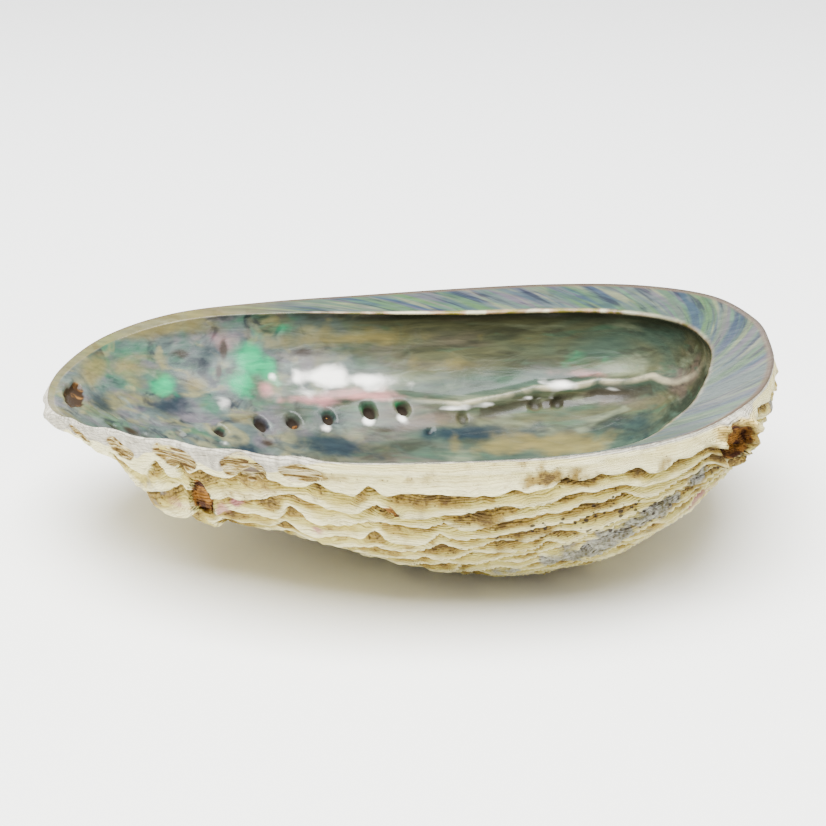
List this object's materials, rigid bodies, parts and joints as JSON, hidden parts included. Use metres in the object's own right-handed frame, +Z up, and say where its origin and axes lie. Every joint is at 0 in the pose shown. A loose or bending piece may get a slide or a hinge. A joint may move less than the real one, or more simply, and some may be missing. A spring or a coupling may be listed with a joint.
{
  "type": "abalone shell",
  "caption": "Empty abalone shell lying on its back: oval bowl with a broad inner shelf, a row of breathing holes and a ridged outside.",
  "frame": {"origin": "bottom centre of the bounding box, on the surface that the shell rests on", "axes": "+X along the length toward the spire end, +Y toward the shelf side, +Z up out of the open bowl"},
  "size_m": [0.1596, 0.1184, 0.0413],
  "materials": {
    "shell": "satin"
  },
  "bodies": {
    "root": {"shell": "shell"}
  },
  "joints": []
}
